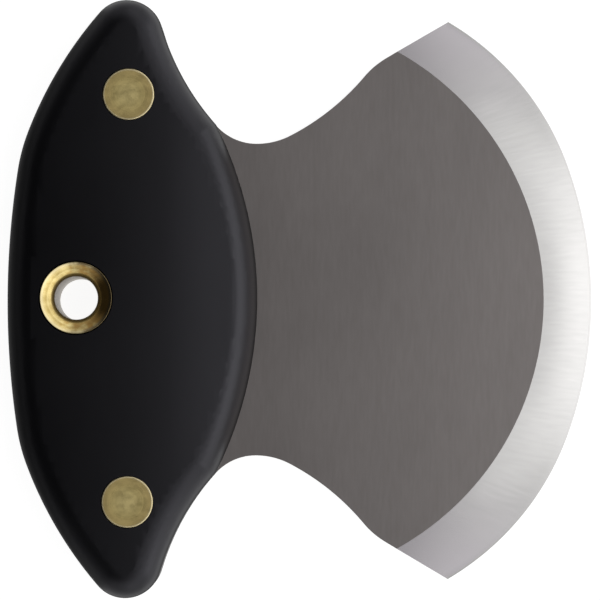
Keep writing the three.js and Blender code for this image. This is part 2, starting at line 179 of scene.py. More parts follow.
# Where a line from a point leaves a circle, in the direction given.
def line_leaves_circle(start, direction, centre, radius):
    offset = start - centre
    along = offset.dot(direction)
    return start + direction * (math.sqrt(along ** 2 - offset.length_squared + radius ** 2) - along)


# Radius of an arc that bows out by the distance given from its chord.
def bow_radius(bow, half_chord):
    return (bow ** 2 + half_chord ** 2) / (2 * bow)


# Centres of the arcs that make the upper half of the outline
horn_tip = Vector((HORN_TIP_X, HALF_LENGTH - HORN_TIP_R))
spine = Vector((SPINE_X + SPINE_R, 0))
spine_end = math.pi - math.asin((HALF_LENGTH - SHOULDER_SETBACK) / SPINE_R)
shoulder = spine + polar(SPINE_R - SHOULDER_R, spine_end)
flank = circles_cross(horn_tip, FLANK_R - HORN_TIP_R, shoulder, FLANK_R - SHOULDER_R)
notch_on_handle = Vector((NOTCH_X, NECK_WIDTH / 2 + NOTCH_HANDLE_R))
horn_inner = circles_cross(
    horn_tip, HORN_INNER_R + HORN_TIP_R, notch_on_handle, HORN_INNER_R - NOTCH_HANDLE_R)
notch_on_blade = Vector((NOTCH_X, NECK_WIDTH / 2 + NOTCH_BLADE_R))
neck = notch_on_blade + polar(NECK_R - NOTCH_BLADE_R, UP + NOTCH_SLOPE)
corner = neck + polar(NECK_R + CORNER_R, DOWN + NECK_SLOPE)
bevel_end = corner + polar(CORNER_R, UP + HEEL_SLOPE) + polar(HEEL_STRAIGHT, HEEL_SLOPE)
blade_tip = bevel_end + polar(BEVEL_END_WIDTH, HEEL_SLOPE)

# Front border of the scales, one arc between the horns
front_corner = horn_inner + polar(HORN_INNER_R, bearing(horn_inner, notch_on_handle))
front_r = bow_radius(SCALE_BULGE, front_corner.y)
front = Vector((front_corner.x + SCALE_BULGE - front_r, 0))

# Cutting edge, and the line where its grind begins
edge_middle = Vector((EDGE_X - EDGE_MIDDLE_R, 0))
blend_out = polar(1, EDGE_BLEND_ANGLE)
blend = edge_middle + EDGE_MIDDLE_R * blend_out
edge_end_r = bow_radius(-blend_out.dot(blade_tip - blend), blend_out.cross(blade_tip - blend))
edge_end = blend - edge_end_r * blend_out
bevel_line_r = bow_radius(EDGE_X - BEVEL_WIDTH - bevel_end.x, bevel_end.y)
bevel_line = Vector((EDGE_X - BEVEL_WIDTH - bevel_line_r, 0))
BEVEL_LINE_TURN = bearing(bevel_line, bevel_end)


# A point of the cutting edge, in the direction given from the centre of the bevel line.
def edge_point(angle):
    direction = polar(1, abs(angle))
    point = line_leaves_circle(bevel_line, direction, edge_middle, EDGE_MIDDLE_R)
    if bearing(edge_middle, point) > EDGE_BLEND_ANGLE:
        point = line_leaves_circle(bevel_line, direction, edge_end, edge_end_r)
    return Vector((point.x, math.copysign(point.y, angle)))


# Outlines traced by one vertex

# Carries the last vertex of an outline round a centre.
def swing(mesh, vert, centre, turn, steps=None):
    radius = (vert.co.xy - centre).length
    steps = steps or max(3, math.ceil(radius * abs(turn) / OUTLINE_STEP))
    made = bmesh.ops.spin(
        mesh, geom=[vert], cent=(centre.x, centre.y, vert.co.z), axis=(0, 0, 1), angle=turn, steps=steps)
    return made["geom_last"][0]


# Carries the last vertex of an outline along a straight line.
def run_straight(mesh, vert, way):
    made = bmesh.ops.extrude_vert_indiv(mesh, verts=[vert])
    bmesh.ops.translate(mesh, verts=made["verts"], vec=(way.x, way.y, 0))
    return made["verts"][0]


# From the middle of the spine round the horn tip to the finger notch.
def trace_handle(mesh, z):
    vert = mesh.verts.new((SPINE_X, 0, z))
    vert = swing(mesh, vert, spine, spine_end - math.pi)
    vert = swing(mesh, vert, shoulder, bearing(flank, shoulder) - spine_end)
    vert = swing(mesh, vert, flank, bearing(flank, horn_tip) - bearing(flank, shoulder))
    vert = swing(mesh, vert, horn_tip, bearing(horn_tip, horn_inner) - bearing(flank, horn_tip))
    inner_turn = bearing(horn_inner, notch_on_handle) - bearing(horn_inner, horn_tip)
    return swing(mesh, vert, horn_inner, inner_turn)


# From the horn through the finger notch, along the neck and round the corner to the grind.
def trace_blade_back(mesh, vert):
    vert = swing(mesh, vert, notch_on_handle, DOWN - bearing(horn_inner, notch_on_handle))
    vert = swing(mesh, vert, notch_on_blade, NOTCH_SLOPE)
    vert = swing(mesh, vert, neck, NECK_SLOPE - NOTCH_SLOPE)
    vert = swing(mesh, vert, corner, HEEL_SLOPE - NECK_SLOPE)
    return run_straight(mesh, vert, polar(HEEL_STRAIGHT, HEEL_SLOPE))


def mirror(mesh, axis):
    everything = mesh.verts[:] + mesh.edges[:] + mesh.faces[:]
    bmesh.ops.mirror(mesh, geom=everything, matrix=Matrix(), merge_dist=TINY, axis=axis)


def circle(mesh, centre, radius, z):
    others = set(mesh.edges)
    place = Matrix.Translation((centre.x, centre.y, z))
    bmesh.ops.create_circle(mesh, segments=HOLE_SIDES, radius=radius, matrix=place)
    return [edge for edge in mesh.edges if edge not in others]


# The elements of one kind among those that an operator made.
def pick(made, kind):
    return [item for item in made if isinstance(item, kind)]


# Finished pieces

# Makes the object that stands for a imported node. Edges sharper than a crease stay crisp.
def finish_piece(name, mesh, materials, node):
    bmesh.ops.remove_doubles(mesh, verts=mesh.verts[:], dist=TINY)
    bmesh.ops.recalc_face_normals(mesh, faces=mesh.faces[:])
    for face in mesh.faces:
        face.smooth = True
    for edge in mesh.edges:
        flat_sides = [face for face in edge.link_faces if abs(face.normal.z) > FLAT_NORMAL]
        if edge.calc_face_angle(0) > CREASE or len(flat_sides) == 1:
            edge.smooth = False
    data = bpy.data.meshes.new(name)
    mesh.to_mesh(data)
    mesh.free()
    for material in materials:
        data.materials.append(material)
    piece = bpy.data.objects.new(name, data)
    bpy.context.scene.collection.objects.link(piece)
    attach(piece, "root")
    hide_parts(node)
    return piece


# Blade: a flat plate with three holes in its tang, ground from both faces along the edge

# A point of the bevel: share runs along the edge from tip to tip, part from the bevel line to the honing.
# The wheel hollows the middle of the bevel and leaves its ends slightly domed.
def bevel_point(share, part):
    start = bevel_line + polar(bevel_line_r, share * BEVEL_LINE_TURN)
    end = edge_point(share * bearing(bevel_line, blade_tip))
    honed_share = 1 - HONED_WIDTH / (end - start).length
    if part <= 1:
        point = start.lerp(end, part * honed_share)
        flat = HALF_BLADE + (HONED_HALF_THICKNESS - HALF_BLADE) * part
        hollow = HOLLOW_DEPTH * max(-1, 1 - 4 * share ** 2)
        return (point.x, point.y, flat - 4 * hollow * part * (1 - part))
    honed = part - 1
    point = start.lerp(end, honed_share + (1 - honed_share) * honed)
    height = HONED_HALF_THICKNESS + (EDGE_HALF_THICKNESS - HONED_HALF_THICKNESS) * honed
    return (point.x, point.y, height)


# Extrudes the bevel line row by row down to the cutting edge.
def grind_bevel(mesh, row, share_layer, part_layer):
    bevel_parts = [(step + 1) / BEVEL_ROWS for step in range(BEVEL_ROWS)]
    honed_parts = [1 + (step + 1) / HONED_ROWS for step in range(HONED_ROWS)]
    for part in bevel_parts + honed_parts:
        made = bmesh.ops.extrude_edge_only(mesh, edges=row)["geom"]
        verts = set(pick(made, bmesh.types.BMVert))
        for vert in verts:
            vert[part_layer] = part
            vert.co = bevel_point(vert[share_layer], part)
        for face in pick(made, bmesh.types.BMFace):
            face.material_index = 1 if part <= 1 else 2
        row = [edge for edge in pick(made, bmesh.types.BMEdge) if verts.issuperset(edge.verts)]


def ground_blade(materials):
    mesh = bmesh.new()
    share_layer = mesh.verts.layers.float.new("share")
    part_layer = mesh.verts.layers.float.new("part")
    grind_map = mesh.loops.layers.uv.new("grind")
    mark = mesh.edges.layers.int.new("bevel_line")
    grind_start = trace_blade_back(mesh, trace_handle(mesh, HALF_BLADE))
    others = set(mesh.edges)
    swing(mesh, grind_start, bevel_line, -BEVEL_LINE_TURN, BEVEL_LINE_STEPS)
    for edge in mesh.edges:
        edge[mark] = int(edge not in others)
    mirror(mesh, "Y")
    outline = mesh.edges[:]
    line = [edge for edge in outline if edge[mark]]
    back = [edge for edge in outline if not edge[mark]]
    for vert in {vert for edge in line for vert in edge.verts}:
        vert[share_layer] = bearing(bevel_line, vert.co.xy) / BEVEL_LINE_TURN
    grind_bevel(mesh, line, share_layer, part_layer)
    holes = circle(mesh, TUBE_CENTRE, TUBE_HOLE_R, HALF_BLADE)
    for place in RIVET_CENTRES.values():
        holes += circle(mesh, place, SHANK_HOLE_R, HALF_BLADE)
    bmesh.ops.triangle_fill(mesh, use_beauty=True, edges=outline + holes)
    border = [edge for edge in mesh.edges if edge.is_boundary]
    walls = bmesh.ops.extrude_edge_only(mesh, edges=border)["geom"]
    for vert in pick(walls, bmesh.types.BMVert):
        vert.co.z = 0
    for face in pick(walls, bmesh.types.BMFace):
        face.material_index = 0
    bmesh.ops.bevel(
        mesh, geom=back, offset=PLATE_EDGE_BREAK, offset_type="OFFSET", segments=EDGE_BREAK_ROWS,
        profile=0.5, affect="EDGES", material=-1, clamp_overlap=True)
    mirror(mesh, "Z")
    for face in mesh.faces:
        for loop in face.loops:
            along = loop.vert[share_layer] * bevel_line_r * BEVEL_LINE_TURN
            loop[grind_map].uv = (along, loop.vert[part_layer] * BEVEL_WIDTH)
    bmesh.ops.translate(mesh, verts=mesh.verts[:], vec=(0, 0, MIDDLE_Z))
    return finish_piece("ground_blade", mesh, materials, "blade")


# Handle scale: flat on the tang, crowned and rounded over on the palm side

# How far the palm face has fallen below its crest. Sanding has blended the flat strip into the crown
# beside it.
def crown_fall(x):
    out = abs(x - CROWN_X)
    slope_out = CROWN_BLEND - CROWN_FLAT / 2
    blend_fall = slope_out * CROWN_BLEND / (2 * CROWN_R)
    if out < CROWN_BLEND:
        return blend_fall * (out / CROWN_BLEND) ** 2
    return blend_fall + ((out - CROWN_FLAT / 2) ** 2 - slope_out ** 2) / (2 * CROWN_R)


# Parts the open rims of a scale into those on its palm side and those on the tang.
def part_rims(rims):
    palm = [edge for edge in rims if edge.verts[0].co.z > SCALE_THICKNESS / 2]
    tang = [edge for edge in rims if edge.verts[0].co.z < SCALE_THICKNESS / 2]
    return palm, tang


# A stepped hole of (radius, height) pairs, from the palm face down to the tang. Gives back its two rims.
def stepped_hole(mesh, centre, steps):
    others = set(mesh.edges)
    verts = [mesh.verts.new((centre.x + radius, centre.y, z)) for radius, z in steps]
    edges = [mesh.edges.new(pair) for pair in zip(verts, verts[1:])]
    bmesh.ops.spin(
        mesh, geom=verts + edges, cent=(centre.x, centre.y, 0), axis=(0, 0, 1), angle=2 * math.pi,
        steps=HOLE_SIDES, use_merge=True)
    return part_rims([edge for edge in mesh.edges if edge not in others and edge.is_boundary])


def scale_blank(mesh):
    front_vert = trace_handle(mesh, 0)
    swing(mesh, front_vert, front, -bearing(front, front_corner))
    mirror(mesh, "Y")
    tang_side = bmesh.ops.edgeloop_fill(mesh, edges=mesh.edges[:])["faces"]
    made = bmesh.ops.extrude_face_region(mesh, geom=tang_side)["geom"]
    bmesh.ops.translate(mesh, verts=pick(made, bmesh.types.BMVert), vec=(0, 0, SCALE_THICKNESS))
    palm_rim = [edge for edge in mesh.edges if all(v.co.z > SCALE_THICKNESS - TINY for v in edge.verts)]
    bmesh.ops.bevel(
        mesh, geom=palm_rim, offset=SCALE_ROUNDING, offset_type="OFFSET", segments=ROUNDING_ROWS,
        profile=0.5, affect="EDGES", material=-1, clamp_overlap=False)
    tang_rim = [edge for edge in mesh.edges if all(v.co.z < TINY for v in edge.verts)]
    bmesh.ops.bevel(
        mesh, geom=tang_rim, offset=SCALE_EDGE_BREAK, offset_type="OFFSET", segments=EDGE_BREAK_ROWS,
        profile=0.5, affect="EDGES", material=-1, clamp_overlap=False)


# How far a vertex lies from the axis of the nearest hole, as a share of the hole's radius.
def share_from_hole(vert, holes):
    return min((vert.co.xy - centre).length / radius for centre, radius in holes)


# Cuts the scale into strips and lets its palm face fall away on both sides of the crest. A point of the
# rounded rim falls as far as the middle of its rounding does, and what lies inside the holes stays.
def crown_palm(mesh, holes):
    strips = round((front_corner.x + SCALE_BULGE - SPINE_X) / CROWN_STRIP)
    for strip in range(1, strips):
        everything = mesh.verts[:] + mesh.edges[:] + mesh.faces[:]
        bmesh.ops.bisect_plane(
            mesh, geom=everything, dist=STRIP_SNAP, plane_co=(SPINE_X + strip * CROWN_STRIP, 0, 0),
            plane_no=(1, 0, 0))
    mesh.normal_update()
    rounding_foot = SCALE_THICKNESS - SCALE_ROUNDING
    falls = {}
    for vert in mesh.verts:
        from_hole = share_from_hole(vert, holes)
        below_rim = from_hole < OUTSIDE_HOLE and vert.co.z < SCALE_THICKNESS - TINY
        rise = (vert.co.z - rounding_foot) / SCALE_ROUNDING
        if rise < -ROUNDING_SLACK or from_hole < INSIDE_HOLE or below_rim:
            continue
        lean = math.sqrt(max(0, 1 - rise ** 2)) * vert.normal.xy.normalized().x
        falls[vert] = crown_fall(vert.co.x - SCALE_ROUNDING * lean)
    for vert, fall in falls.items():
        vert.co.z -= fall


# A share that rises smoothly from nought to one between two values.
def ease(value, low, high):
    share = min(1, max(0, (value - low) / (high - low)))
    return share * share * (3 - 2 * share)


# Marks where the plastic takes painted shade, a weaker and rougher reflection: on its steep sides and
# where it faces the spine, away from the light. Where it faces the edge and the light, it marks a painted
# sheen.
def paint_shade_and_sheen(mesh, holes):
    dulled_and_shaded = mesh.verts.layers.float.new("dulled_and_shaded")
    front_sheen = mesh.verts.layers.float.new("front_sheen")
    bmesh.ops.remove_doubles(mesh, verts=mesh.verts[:], dist=TINY)
    bmesh.ops.recalc_face_normals(mesh, faces=mesh.faces[:])
    mesh.normal_update()
    for vert in mesh.verts:
        if share_from_hole(vert, holes) > OUTSIDE_HOLE:
            shade_and_rub = ease(-vert.normal.x, SPINE_SHADE_STARTS, SPINE_SHADE_FULL)
            steep = 1 - ease(abs(vert.normal.z), STEEP_SHADE_FULL, STEEP_SHADE_ENDS)
            vert[dulled_and_shaded] = max(shade_and_rub, steep)
            vert[front_sheen] = ease(vert.normal.x, FRONT_SHEEN_STARTS, FRONT_SHEEN_FULL)


def handle_scale(name, material, node, turned_over):
    mesh = bmesh.new()
    scale_blank(mesh)
    flats = [face for face in mesh.faces if len(face.verts) > HOLE_SIDES]
    bmesh.ops.delete(mesh, geom=flats, context="FACES_ONLY")
    rims = [edge for edge in mesh.edges if edge.is_boundary]
    seat = SCALE_THICKNESS - RIVET_HEAD_HEIGHT - RIVET_SINK
    head_r = RIVET_HEAD_R + HEAD_CLEARANCE
    countersink_r = FLARE_R + TUBE_CLEARANCE
    wall_drop = (TUBE_WALL + TUBE_CLEARANCE) * math.sqrt(2)
    countersink_top = FLARE_TOP - HALF_BLADE - wall_drop + TUBE_CLEARANCE
    countersink_foot = countersink_top - (countersink_r - TUBE_HOLE_R)
    tube_steps = [
        (countersink_r, SCALE_THICKNESS), (countersink_r, countersink_top),
        (TUBE_HOLE_R, countersink_foot), (TUBE_HOLE_R, 0)]
    rivet_steps = [(head_r, SCALE_THICKNESS), (head_r, seat), (SHANK_HOLE_R, seat), (SHANK_HOLE_R, 0)]
    palm_rims, tang_rims = part_rims(rims)
    holes = []
    stepped = [(TUBE_CENTRE, tube_steps)] + [(place, rivet_steps) for place in RIVET_CENTRES.values()]
    for place, steps in stepped:
        top, foot = stepped_hole(mesh, place, steps)
        palm_rims += top
        tang_rims += foot
        holes.append((place, steps[0][0]))
    bmesh.ops.triangle_fill(mesh, use_beauty=True, edges=palm_rims)
    bmesh.ops.triangle_fill(mesh, use_beauty=True, edges=tang_rims)
    crown_palm(mesh, holes)
    paint_shade_and_sheen(mesh, holes)
    if turned_over:
        bmesh.ops.scale(mesh, verts=mesh.verts[:], vec=(1, 1, -1))
    lift = MIDDLE_Z - HALF_BLADE if turned_over else MIDDLE_Z + HALF_BLADE
    bmesh.ops.translate(mesh, verts=mesh.verts[:], vec=(0, 0, lift))
    return finish_piece(name, mesh, [material], node)


# Turned brass

# Spins a profile of (radius, height) pairs about the upright axis.
def turn_profile(profile):
    mesh = bmesh.new()
    verts = [mesh.verts.new((radius, 0, height)) for radius, height in profile]
    edges = [mesh.edges.new(pair) for pair in zip(verts, verts[1:])]
    bmesh.ops.spin(
        mesh, geom=verts + edges, cent=(0, 0, 0), axis=(0, 0, 1), angle=2 * math.pi, steps=TURNED_SIDES,
        use_merge=True)
    bmesh.ops.remove_doubles(mesh, verts=mesh.verts[:], dist=TINY)
    return mesh


# Rounds the edges of a turned piece that lie at the radius and height given.
def round_ring(mesh, radius, height, rounding, rows):
    at_height = [vert for vert in mesh.verts if abs(vert.co.z - height) < TINY]
    on_ring = {vert for vert in at_height if abs(vert.co.xy.length - radius) < TINY}
    ring = [edge for edge in mesh.edges if on_ring.issuperset(edge.verts)]
    bmesh.ops.bevel(
        mesh, geom=ring, offset=rounding, offset_type="OFFSET", segments=rows, profile=0.5,
        affect="EDGES", material=-1, clamp_overlap=True)


# A map of each point's place about the axis, for the marks of the lathe. It is made before the piece is
# moved to its place.
def map_about_axis(mesh):
    axis_map = mesh.loops.layers.uv.new("axis")
    for face in mesh.faces:
        for loop in face.loops:
            loop[axis_map].uv = loop.vert.co.xy


def rivet_half(name, node, material, hollow):
    low, high = (Vector(corner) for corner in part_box(node))
    length = high.z - low.z
    shank_end = RIVET_HEAD_HEIGHT - length
    head = [
        (RIVET_HEAD_R, 0), (RIVET_HEAD_R, RIVET_HEAD_HEIGHT), (RIVET_DIMPLE_R, RIVET_HEAD_HEIGHT),
        (RIVET_DIMPLE_R - RIVET_DIMPLE_SLOPE, RIVET_HEAD_HEIGHT - RIVET_DIMPLE_DEPTH),
        (0, RIVET_HEAD_HEIGHT - RIVET_DIMPLE_DEPTH)]
    pin = [(0, shank_end), (PIN_R, shank_end), (PIN_R, 0)]
    sleeve = [
        (0, 0), (SLEEVE_BORE_R, 0), (SLEEVE_BORE_R, shank_end), (SLEEVE_R, shank_end), (SLEEVE_R, 0)]
    mesh = turn_profile((sleeve if hollow else pin) + head)
    round_ring(mesh, RIVET_HEAD_R, RIVET_HEAD_HEIGHT, RIVET_RIM_ROUNDING, BRASS_RIM_ROWS)
    map_about_axis(mesh)
    centre = (low.xy + high.xy) / 2
    if hollow:
        bmesh.ops.scale(mesh, verts=mesh.verts[:], vec=(1, 1, -1))
        lift = low.z + RIVET_HEAD_HEIGHT
    else:
        lift = high.z - RIVET_HEAD_HEIGHT
    bmesh.ops.translate(mesh, verts=mesh.verts[:], vec=(centre.x, centre.y, lift))
    return finish_piece(name, mesh, [material], node)


# Tube with trumpet ends, which open from the bore into a shallow cone. Two rings on the cone leave room
# for the roundings of its rim and its throat.
def flared_tube(material):
    tube_r = BORE_R + TUBE_WALL
    wall_drop = TUBE_WALL * math.sqrt(2)
    throat = FLARE_TOP - (FLARE_R - BORE_R) * math.tan(FLARE_SLOPE)
    rim_ring = FLARE_R - 1.7 * FLARE_RIM_ROUNDING
    throat_ring = BORE_R + 1.1 * FLARE_THROAT_ROUNDING
    cone = [
        (radius, throat + (radius - BORE_R) * math.tan(FLARE_SLOPE))
        for radius in (FLARE_R, rim_ring, throat_ring, BORE_R)]
    upper = [
        (tube_r, FLARE_TOP - (FLARE_R - tube_r) - wall_drop), (FLARE_R, FLARE_TOP - wall_drop)] + cone
    lower = [(radius, -height) for radius, height in reversed(upper)]
    mesh = turn_profile(upper + lower + upper[:1])
    for side in (1, -1):
        round_ring(mesh, FLARE_R, side * FLARE_TOP, FLARE_RIM_ROUNDING, BRASS_RIM_ROWS)
        round_ring(mesh, BORE_R, side * throat, FLARE_THROAT_ROUNDING, THROAT_ROWS)
    map_about_axis(mesh)
    bmesh.ops.translate(mesh, verts=mesh.verts[:], vec=(TUBE_CENTRE.x, TUBE_CENTRE.y, MIDDLE_Z))
    return finish_piece("flared_tube", mesh, [material], "lanyard_tube")


# Materials

def new_finish(name, metallic):
    material = bpy.data.materials.new(name)
    material.use_nodes = True
    shader = material.node_tree.nodes["Principled BSDF"]
    shader.inputs["Metallic"].default_value = metallic
    return material, material.node_tree, shader


# Noise on a set of coordinates, stretched by its scale along each of them.
def noise(tree, coordinates, scale, detail=3.0, roughness=0.55):
    mapping = tree.nodes.new("ShaderNodeMapping")
    mapping.inputs["Scale"].default_value = scale
    texture = tree.nodes.new("ShaderNodeTexNoise")
    texture.inputs["Scale"].default_value = 1.0
    texture.inputs["Detail"].default_value = detail
    texture.inputs["Roughness"].default_value = roughness
    tree.links.new(coordinates, mapping.inputs["Vector"])
    tree.links.new(mapping.outputs["Vector"], texture.inputs["Vector"])
    return texture.outputs["Fac"]


def object_coordinates(tree):
    return tree.nodes.new("ShaderNodeTexCoord").outputs["Object"]


def own_map(tree, name):
    node = tree.nodes.new("ShaderNodeUVMap")
    node.uv_map = name
    return node.outputs["UV"]


def own_mark(tree, name):
    node = tree.nodes.new("ShaderNodeAttribute")
    node.attribute_name = name
    return node.outputs["Fac"]


# A value from one range spread over another.
def spread(tree, value, low, high, to_low, to_high, smooth=False):
    node = tree.nodes.new("ShaderNodeMapRange")
    node.interpolation_type = "SMOOTHSTEP" if smooth else "LINEAR"
    node.inputs["From Min"].default_value = low
    node.inputs["From Max"].default_value = high
    node.inputs["To Min"].default_value = to_low
    node.inputs["To Max"].default_value = to_high
    tree.links.new(value, node.inputs["Value"])
    return node.outputs["Result"]


# Sockets 6 and 7 of a mixing node take colours, and its output 2 gives one.
def blend_colours(tree, share, first, second):
    node = tree.nodes.new("ShaderNodeMix")
    node.data_type = "RGBA"
    tree.links.new(share, node.inputs["Factor"])
    for socket, colour in ((node.inputs[6], first), (node.inputs[7], second)):
        if isinstance(colour, tuple):
            socket.default_value = (*colour, 1)
        else:
            tree.links.new(colour, socket)
    return node.outputs[2]


# A value that gives way to a constant by the share given.
def fade_to(tree, share, value, constant):
    node = tree.nodes.new("ShaderNodeMix")
    node.inputs["B"].default_value = constant
    tree.links.new(share, node.inputs["Factor"])
    tree.links.new(value, node.inputs["A"])
    return node.outputs["Result"]


def combine(tree, operation, first, second):
    node = tree.nodes.new("ShaderNodeMath")
    node.operation = operation
    for socket, value in zip(node.inputs, (first, second)):
        if isinstance(value, float):
            socket.default_value = value
        else:
            tree.links.new(value, socket)
    return node.outputs["Value"]


def add_bump(tree, shader, height, depth, strength):
    node = tree.nodes.new("ShaderNodeBump")
    node.inputs["Strength"].default_value = strength
    node.inputs["Distance"].default_value = depth
    tree.links.new(height, node.inputs["Height"])
    tree.links.new(node.outputs["Normal"], shader.inputs["Normal"])


# Distance of each point from the axis of a turned piece.
def distance_from_axis(tree):
    node = tree.nodes.new("ShaderNodeVectorMath")
    node.operation = "LENGTH"
    tree.links.new(own_map(tree, "axis"), node.inputs[0])
    return node.outputs["Value"]


# Rings that the lathe left about the axis.
def lathe_rings(tree, from_axis):
    rings = tree.nodes.new("ShaderNodeTexNoise")
    rings.noise_dimensions = "1D"
    rings.inputs["Scale"].default_value = 2600
    rings.inputs["Detail"].default_value = 3
    tree.links.new(from_axis, rings.inputs["W"])
    return rings.outputs["Fac"]


# Two values mixed, the first by the share given.
def mix_values(tree, first, second, share):
    first_part = combine(tree, "MULTIPLY", first, share)
    second_part = combine(tree, "MULTIPLY", second, 1 - share)
    return combine(tree, "ADD", first_part, second_part)


# Plate steel, blasted dull, with a fine grain along the handle.
def plate_steel():
    material, tree, shader = new_finish("plate_steel", 1.0)
    place = object_coordinates(tree)
    grain = noise(tree, place, (1700, 240, 240))
    streaks = noise(tree, place, (520, 90, 90), 2.0)
    clouds = noise(tree, place, (45, 30, 30))
    tone = spread(tree, mix_values(tree, grain, streaks, 0.6), 0.36, 0.64, 0, 1)
    steel = blend_colours(tree, tone, (0.284, 0.26, 0.254), (0.31, 0.284, 0.278))
    tree.links.new(steel, shader.inputs["Base Color"])
    tree.links.new(spread(tree, clouds, 0.3, 0.7, 0.29, 0.33), shader.inputs["Roughness"])
    shader.inputs["Specular Tint"].default_value = (0.65, 0.65, 0.65, 1)
    add_bump(tree, shader, grain, 0.01 * MM, 0.06)
    return material


# Bevel steel, with the marks of the wheel across it and a faint tint towards the tips.
def wheel_ground_steel():
    material, tree, shader = new_finish("wheel_ground_steel", 1.0)
    along = own_map(tree, "grind")
    wheel_marks = noise(tree, along, (1500, 220, 1))
    passes = noise(tree, along, (110, 18, 1), 2.0)
    tone = spread(tree, mix_values(tree, wheel_marks, passes, 0.6), 0.3, 0.7, 0, 1)
    steel = blend_colours(tree, tone, (0.485, 0.478, 0.472), (0.53, 0.522, 0.515))
    parts = tree.nodes.new("ShaderNodeSeparateXYZ")
    tree.links.new(along, parts.inputs["Vector"])
    from_middle = combine(tree, "ABSOLUTE", parts.outputs["X"], 0.0)
    towards_tip = spread(tree, from_middle, 30 * MM, 58 * MM, 0, 0.8, True)
    tinted = blend_colours(tree, towards_tip, steel, (0.49, 0.462, 0.49))
    tree.links.new(tinted, shader.inputs["Base Color"])
    tree.links.new(spread(tree, passes, 0.3, 0.7, 0.18, 0.215), shader.inputs["Roughness"])
    shader.inputs["Specular Tint"].default_value = (0.5, 0.5, 0.5, 1)
    add_bump(tree, shader, wheel_marks, 0.01 * MM, 0.06)
    return material


# Honed steel at the edge itself.
def honed_steel():
    material, tree, shader = new_finish("honed_steel", 1.0)
    strokes = noise(tree, own_map(tree, "grind"), (2600, 200, 1))
    steel = blend_colours(tree, strokes, (0.47, 0.463, 0.457), (0.53, 0.522, 0.515))
    tree.links.new(steel, shader.inputs["Base Color"])
    tree.links.new(spread(tree, strokes, 0.3, 0.7, 0.18, 0.24), shader.inputs["Roughness"])
    shader.inputs["Specular Tint"].default_value = (0.5, 0.5, 0.5, 1)
    add_bump(tree, shader, strokes, 0.01 * MM, 0.06)
    return material


# Moulded black plastic, satin, with faint sanding marks along the handle.
def black_plastic():
    material, tree, shader = new_finish("black_plastic", 0.0)
    place = object_coordinates(tree)
    pebble = noise(tree, place, (1500, 1500, 1500), 2.0)
    sanding = noise(tree, place, (1300, 35, 200))
    handling = spread(tree, noise(tree, place, (40, 25, 40), 4.0), 0.3, 0.7, 0, 1)
    tone = blend_colours(tree, handling, (0.001, 0.001, 0.0012), (0.0015, 0.0015, 0.0018))
    # The first mark gives painted shade: a weaker, rougher reflection and a slightly lighter base colour
    # on the steep and spine-facing parts.
    dulled_and_shaded = own_mark(tree, "dulled_and_shaded")
    tree.links.new(blend_colours(tree, dulled_and_shaded, tone, (0.0035, 0.0035, 0.004)), shader.inputs["Base Color"])
    satin = spread(tree, handling, 0, 1, 0.31, 0.37)
    tree.links.new(fade_to(tree, dulled_and_shaded, satin, 0.5), shader.inputs["Roughness"])
    # The second mark gives a painted sheen: a stronger reflection where the plastic faces the edge and
    # the light.
    painted_sheen_level = spread(tree, own_mark(tree, "front_sheen"), 0, 1, 0.29, 0.44)
    shader.inputs["Specular IOR Level"].default_value = 0.29
    tree.links.new(fade_to(tree, dulled_and_shaded, painted_sheen_level, 0.03), shader.inputs["Specular IOR Level"])
    # Reflections tinted blue, as a painted colour of the light.
    shader.inputs["Specular Tint"].default_value = (0.91, 0.895, 1, 1)
    add_bump(tree, shader, mix_values(tree, pebble, sanding, 0.55), 0.02 * MM, 0.3)
    return material


# Rivet brass, turned flat, dulled by handling, with a bright worn rim.
def rivet_brass():
    material, tree, shader = new_finish("rivet_brass", 1.0)
    from_axis = distance_from_axis(tree)
    patina = noise(tree, object_coordinates(tree), (480, 620, 480), 4.0)
    tone = mix_values(tree, patina, lathe_rings(tree, from_axis), 0.65)
    contrast = spread(tree, tone, 0.4, 0.62, 0, 1)
    brass = blend_colours(tree, contrast, (0.415, 0.33, 0.135), (0.54, 0.435, 0.187))
    shade_and_rub = spread(tree, from_axis, 0.15 * RIVET_HEAD_R, 0.7 * RIVET_HEAD_R, 0.8, 0, True)
    centre = blend_colours(tree, combine(tree, "MULTIPLY", shade_and_rub, patina), brass, (0.74, 0.625, 0.3))
    shaded = spread(tree, from_axis, 0.55 * RIVET_HEAD_R, 0.82 * RIVET_HEAD_R, 0, 0.5, True)
    ringed = blend_colours(tree, shaded, centre, (0.45, 0.345, 0.148))
    rim = spread(tree, from_axis, 0.91 * RIVET_HEAD_R, 0.95 * RIVET_HEAD_R, 0, 0.85, True)
    whole = blend_colours(tree, rim, ringed, (0.63, 0.545, 0.34))
    tree.links.new(whole, shader.inputs["Base Color"])
    tree.links.new(spread(tree, patina, 0.3, 0.7, 0.42, 0.56), shader.inputs["Roughness"])
    add_bump(tree, shader, tone, 0.02 * MM, 0.2)
    return material
